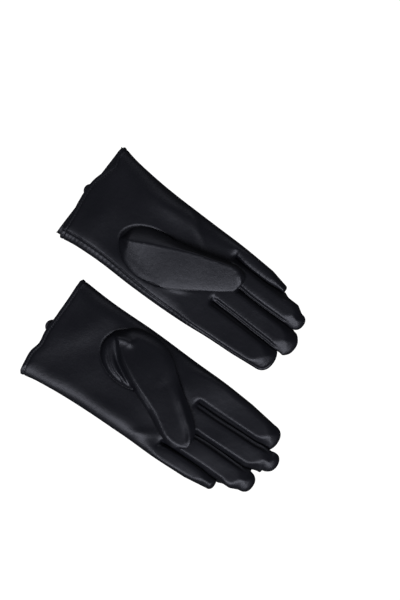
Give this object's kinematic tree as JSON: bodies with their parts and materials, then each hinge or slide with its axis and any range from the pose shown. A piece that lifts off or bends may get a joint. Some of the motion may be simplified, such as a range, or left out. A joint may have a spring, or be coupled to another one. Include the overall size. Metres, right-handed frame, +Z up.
{
  "type": "pair of leather gloves",
  "caption": "Smooth leather dress gloves lying palm up with folded thumbs; fingers curl, thumbs open outwards, and the gloves part.",
  "frame": {"origin": "on the table, at the middle of the pair's footprint", "axes": "+X towards the fingertips, +Y from the left glove to the right glove, +Z up from the back of the hand to the palm"},
  "size_m": [0.2999, 0.2312, 0.0285],
  "materials": {
    "leather": "smooth black nappa, satin",
    "side_leather": "smooth black nappa, satin",
    "trim_leather": "smooth black nappa, satin, edge stained",
    "thread": "waxed black thread",
    "lining": "brushed black knit"
  },
  "bodies": {
    "left_hand": {"left_palm_leather": "leather", "left_back_leather": "leather", "left_cuff_hem": "trim_leather", "left_hem_thread": "thread", "left_hand_lining": "lining", "left_thumb_welt": "trim_leather", "left_cuff_tab": "trim_leather", "left_side_seam": "thread"},
    "left_thumb": {"left_thumb_leather": "leather", "left_thumb_lining": "lining"},
    "left_index_base": {"left_index_base_leather": "leather", "left_index_base_fourchettes": "side_leather", "left_index_lining": "lining"},
    "left_index_tip": {"left_index_tip_leather": "leather", "left_index_tip_fourchettes": "side_leather"},
    "left_middle_base": {"left_middle_base_leather": "leather", "left_middle_base_fourchettes": "side_leather", "left_middle_lining": "lining"},
    "left_middle_tip": {"left_middle_tip_leather": "leather", "left_middle_tip_fourchettes": "side_leather"},
    "left_ring_base": {"left_ring_base_leather": "leather", "left_ring_base_fourchettes": "side_leather", "left_ring_lining": "lining"},
    "left_ring_tip": {"left_ring_tip_leather": "leather", "left_ring_tip_fourchettes": "side_leather"},
    "left_little_base": {"left_little_base_leather": "leather", "left_little_base_fourchettes": "side_leather", "left_little_lining": "lining"},
    "left_little_tip": {"left_little_tip_leather": "leather", "left_little_tip_fourchettes": "side_leather"},
    "right_hand": {"right_palm_leather": "leather", "right_back_leather": "leather", "right_cuff_hem": "trim_leather", "right_hem_thread": "thread", "right_hand_lining": "lining", "right_thumb_welt": "trim_leather", "right_cuff_tab": "trim_leather", "right_side_seam": "thread"},
    "right_thumb": {"right_thumb_leather": "leather", "right_thumb_lining": "lining"},
    "right_index_base": {"right_index_base_leather": "leather", "right_index_base_fourchettes": "side_leather", "right_index_lining": "lining"},
    "right_index_tip": {"right_index_tip_leather": "leather", "right_index_tip_fourchettes": "side_leather"},
    "right_middle_base": {"right_middle_base_leather": "leather", "right_middle_base_fourchettes": "side_leather", "right_middle_lining": "lining"},
    "right_middle_tip": {"right_middle_tip_leather": "leather", "right_middle_tip_fourchettes": "side_leather"},
    "right_ring_base": {"right_ring_base_leather": "leather", "right_ring_base_fourchettes": "side_leather", "right_ring_lining": "lining"},
    "right_ring_tip": {"right_ring_tip_leather": "leather", "right_ring_tip_fourchettes": "side_leather"},
    "right_little_base": {"right_little_base_leather": "leather", "right_little_base_fourchettes": "side_leather", "right_little_lining": "lining"},
    "right_little_tip": {"right_little_tip_leather": "leather", "right_little_tip_fourchettes": "side_leather"}
  },
  "joints": [
    {"name": "left_thumb_open", "type": "hinge", "parent": "left_hand", "child": "left_thumb", "pos_m": [-0.0265, -0.0436, 0.015], "axis": [0, 0, 1], "range_deg": [0, 55]},
    {"name": "left_index_knuckle", "type": "hinge", "parent": "left_hand", "child": "left_index_base", "pos_m": [0.06151, -0.02706, 0.0075], "axis": [0.0326, -0.9995, 0], "range_deg": [0, 60]},
    {"name": "left_index_middle", "type": "hinge", "parent": "left_index_base", "child": "left_index_tip", "pos_m": [0.09549, -0.02595, 0.0075], "axis": [0.0326, -0.9995, 0], "range_deg": [0, 75]},
    {"name": "left_middle_knuckle", "type": "hinge", "parent": "left_hand", "child": "left_middle_base", "pos_m": [0.07841, -0.05438, 0.0075], "axis": [0.0326, -0.9995, 0], "range_deg": [0, 60]},
    {"name": "left_middle_middle", "type": "hinge", "parent": "left_middle_base", "child": "left_middle_tip", "pos_m": [0.1104, -0.05333, 0.0075], "axis": [0.0326, -0.9995, 0], "range_deg": [0, 75]},
    {"name": "left_ring_knuckle", "type": "hinge", "parent": "left_hand", "child": "left_ring_base", "pos_m": [0.07923, -0.07946, 0.0075], "axis": [0.0326, -0.9995, 0], "range_deg": [0, 60]},
    {"name": "left_ring_middle", "type": "hinge", "parent": "left_ring_base", "child": "left_ring_tip", "pos_m": [0.10922, -0.07848, 0.0075], "axis": [0.0326, -0.9995, 0], "range_deg": [0, 75]},
    {"name": "left_little_knuckle", "type": "hinge", "parent": "left_hand", "child": "left_little_base", "pos_m": [0.05786, -0.09917, 0.0075], "axis": [0.0326, -0.9995, 0], "range_deg": [0, 60]},
    {"name": "left_little_middle", "type": "hinge", "parent": "left_little_base", "child": "left_little_tip", "pos_m": [0.08285, -0.09836, 0.0075], "axis": [0.0326, -0.9995, 0], "range_deg": [0, 75]},
    {"name": "gloves_apart", "type": "slide", "parent": "left_hand", "child": "right_hand", "axis": [0, 1, 0], "range_m": [0, 0.1]},
    {"name": "right_thumb_open", "type": "hinge", "parent": "right_hand", "child": "right_thumb", "pos_m": [-0.07098, 0.04706, 0.015], "axis": [0, 0, -1], "range_deg": [0, 55]},
    {"name": "right_index_knuckle", "type": "hinge", "parent": "right_hand", "child": "right_index_base", "pos_m": [0.01602, 0.03021, 0.0075], "axis": [-0.0326, -0.9995, 0], "range_deg": [0, 60]},
    {"name": "right_index_middle", "type": "hinge", "parent": "right_index_base", "child": "right_index_tip", "pos_m": [0.05, 0.0291, 0.0075], "axis": [-0.0326, -0.9995, 0], "range_deg": [0, 75]},
    {"name": "right_middle_knuckle", "type": "hinge", "parent": "right_hand", "child": "right_middle_base", "pos_m": [0.03295, 0.05843, 0.0075], "axis": [-0.0326, -0.9995, 0], "range_deg": [0, 60]},
    {"name": "right_middle_middle", "type": "hinge", "parent": "right_middle_base", "child": "right_middle_tip", "pos_m": [0.06493, 0.05738, 0.0075], "axis": [-0.0326, -0.9995, 0], "range_deg": [0, 75]},
    {"name": "right_ring_knuckle", "type": "hinge", "parent": "right_hand", "child": "right_ring_base", "pos_m": [0.03369, 0.08131, 0.0075], "axis": [-0.0326, -0.9995, 0], "range_deg": [0, 60]},
    {"name": "right_ring_middle", "type": "hinge", "parent": "right_ring_base", "child": "right_ring_tip", "pos_m": [0.06368, 0.08033, 0.0075], "axis": [-0.0326, -0.9995, 0], "range_deg": [0, 75]},
    {"name": "right_little_knuckle", "type": "hinge", "parent": "right_hand", "child": "right_little_base", "pos_m": [0.01225, 0.09877, 0.0075], "axis": [-0.0326, -0.9995, 0], "range_deg": [0, 60]},
    {"name": "right_little_middle", "type": "hinge", "parent": "right_little_base", "child": "right_little_tip", "pos_m": [0.03724, 0.09796, 0.0075], "axis": [-0.0326, -0.9995, 0], "range_deg": [0, 75]}
  ],
  "couplings": [
    {"joint": "left_index_middle", "follows": "left_index_knuckle", "ratio": 1.25},
    {"joint": "left_middle_middle", "follows": "left_middle_knuckle", "ratio": 1.25},
    {"joint": "left_ring_middle", "follows": "left_ring_knuckle", "ratio": 1.25},
    {"joint": "left_little_middle", "follows": "left_little_knuckle", "ratio": 1.25},
    {"joint": "right_index_middle", "follows": "right_index_knuckle", "ratio": 1.25},
    {"joint": "right_middle_middle", "follows": "right_middle_knuckle", "ratio": 1.25},
    {"joint": "right_ring_middle", "follows": "right_ring_knuckle", "ratio": 1.25},
    {"joint": "right_little_middle", "follows": "right_little_knuckle", "ratio": 1.25}
  ]
}
